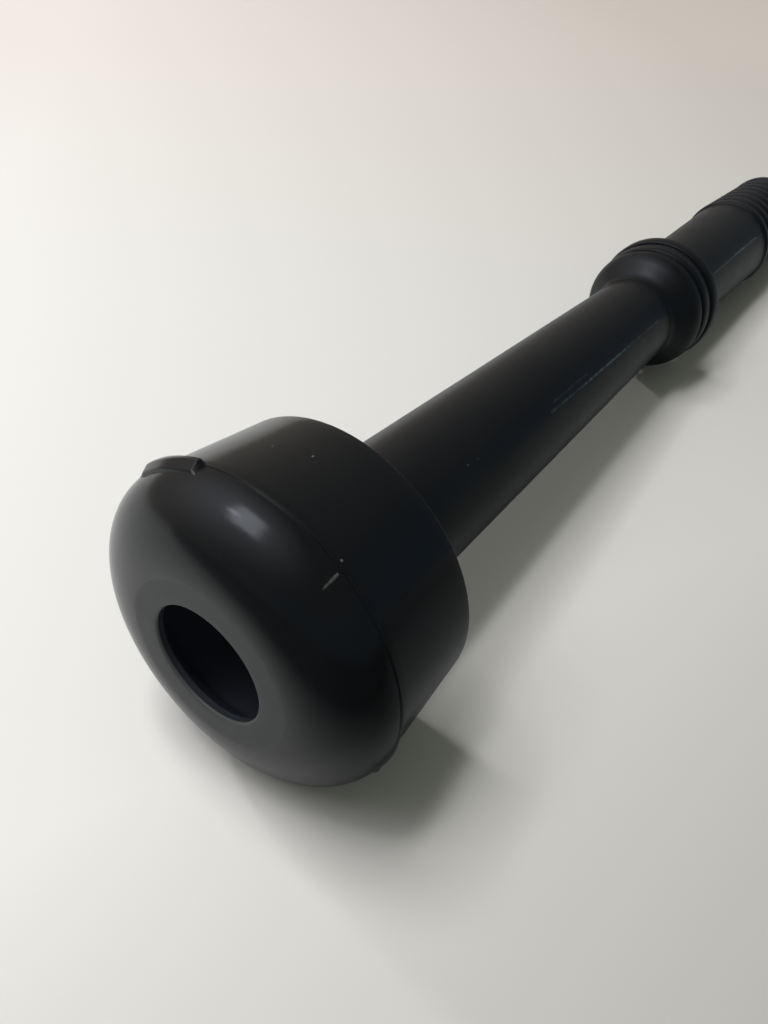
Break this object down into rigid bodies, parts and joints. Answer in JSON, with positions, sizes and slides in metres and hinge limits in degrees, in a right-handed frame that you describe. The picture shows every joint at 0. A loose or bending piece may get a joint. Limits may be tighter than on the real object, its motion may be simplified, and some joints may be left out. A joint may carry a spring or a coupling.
{
  "type": "teat cup liner",
  "caption": "Moulded rubber liner for a milking teat cup, with a domed mouthpiece, a tapered barrel, a grooved collar and a ribbed milk tube.",
  "frame": {"origin": "centre of the flat mouth face, on the liner's axis", "axes": "+Z runs along the axis from the mouth to the milk tube's end, and -Y points to the alignment tab on the head"},
  "size_m": [0.0604, 0.0613, 0.2536],
  "materials": {
    "black_rubber": "smooth moulded rubber with a soft sheen"
  },
  "bodies": {
    "root": {"liner": "black_rubber"}
  },
  "joints": []
}
